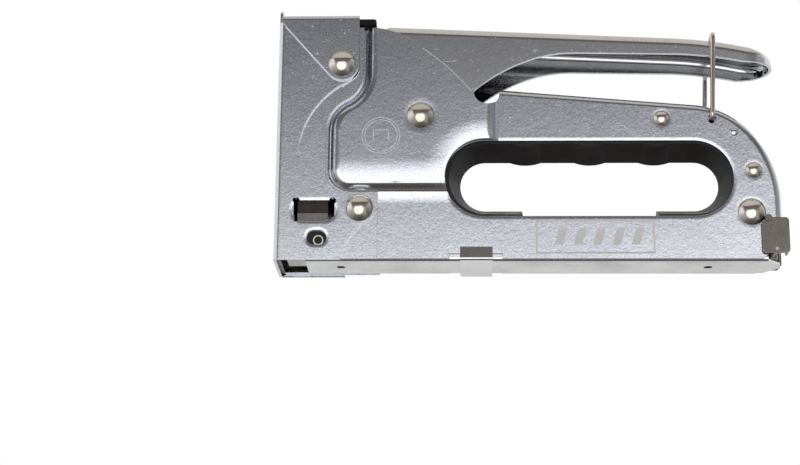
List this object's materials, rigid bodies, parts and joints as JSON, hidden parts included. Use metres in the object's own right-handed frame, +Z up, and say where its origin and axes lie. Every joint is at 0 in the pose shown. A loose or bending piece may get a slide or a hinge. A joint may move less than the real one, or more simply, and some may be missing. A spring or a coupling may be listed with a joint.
{
  "type": "hand staple gun",
  "caption": "Hand staple gun with a riveted bent-sheet body, a long squeeze lever held down by a swinging wire bail, a finger hole with a plastic lining and a slide-out bottom magazine.",
  "frame": {"origin": "middle of the footprint, on the surface that the nose and the magazine clip stand on", "axes": "+Z up, +X from the nose to the rear of the tool, +Y to the tool's right side seen from behind the nose face looking to the rear"},
  "size_m": [0.161, 0.0296, 0.0846],
  "materials": {
    "chrome_body": "plated pressed sheet, fine scratches",
    "chrome_nose": "plated pressed sheet, fine scratches",
    "chrome_lever": "plated pressed sheet, polished",
    "chrome_wire": "plated wire, polished",
    "nickel_rivet": "nickel plated, lightly worn",
    "nickel_latch": "nickel plated, matt",
    "zinc_steel": "plain plated steel",
    "spring_steel": "bright spring wire",
    "dark_steel": "hardened dark steel",
    "black_enamel": "glossy black",
    "black_plastic": "satin black",
    "buffer_rubber": "dense rubber"
  },
  "bodies": {
    "frame": {"left_shell": "chrome_body", "right_shell": "chrome_body", "left_side_plate": "chrome_nose", "right_side_plate": "chrome_nose", "nose_cover": "chrome_nose", "top_cap": "chrome_nose", "spring_bridge": "black_enamel", "spring_seat": "dark_steel", "main_spring": "spring_steel", "wear_plate": "dark_steel", "stop_plate": "dark_steel", "stop_damper": "buffer_rubber", "nose_rivets": "nickel_rivet", "pivot_rivet": "nickel_rivet", "rear_rivet": "nickel_rivet", "handle_rivets": "nickel_rivet", "body_sleeves": "zinc_steel", "handle_sleeves": "zinc_steel", "pivot_washers": "zinc_steel", "grip_insert": "black_plastic", "magazine_channel": "zinc_steel", "magazine_clip": "zinc_steel"},
    "lever_body": {"lever": "chrome_lever", "lever_bush": "zinc_steel", "lift_arm": "dark_steel", "arm_pin": "zinc_steel"},
    "hammer_body": {"hammer": "dark_steel", "driver_blade": "dark_steel"},
    "bail_body": {"bail": "chrome_wire"},
    "pusher": {"staple_rail": "zinc_steel", "rail_post": "zinc_steel", "latch_pin": "zinc_steel", "guide_rod": "zinc_steel", "follower_spring": "spring_steel"},
    "latch_body": {"latch_cap": "nickel_latch"},
    "follower_body": {"follower": "zinc_steel"}
  },
  "joints": [
    {"name": "lever_hinge", "type": "hinge", "parent": "frame", "child": "lever_body", "pos_m": [-0.0345, 0, 0.0472], "axis": [0, 1, 0], "range_deg": [0, 10], "stiffness_Nm_per_rad": 20, "springref_deg": -2.86},
    {"name": "hammer_slide", "type": "slide", "parent": "frame", "child": "hammer_body", "axis": [0, 0, 1], "range_m": [0, 0.006], "deforming": ["main_spring"]},
    {"name": "bail_hinge", "type": "hinge", "parent": "frame", "child": "bail_body", "pos_m": [0.058, 0, 0.0466], "axis": [0, 1, 0], "range_deg": [0, 105]},
    {"name": "rail_slide", "type": "slide", "parent": "frame", "child": "pusher", "axis": [1, 0, 0], "range_m": [0, 0.1]},
    {"name": "latch_hinge", "type": "hinge", "parent": "pusher", "child": "latch_body", "pos_m": [0.0765, 0, 0.0035], "axis": [0, 1, 0], "range_deg": [0, 20]},
    {"name": "follower_slide", "type": "slide", "parent": "pusher", "child": "follower_body", "axis": [1, 0, 0], "range_m": [0, 0.104]}
  ],
  "couplings": [
    {"joint": "hammer_slide", "follows": "lever_hinge", "m_per_rad": 0.0324},
    {"joint": "bail_hinge", "follows": "lever_hinge", "ratio": 10.5}
  ]
}
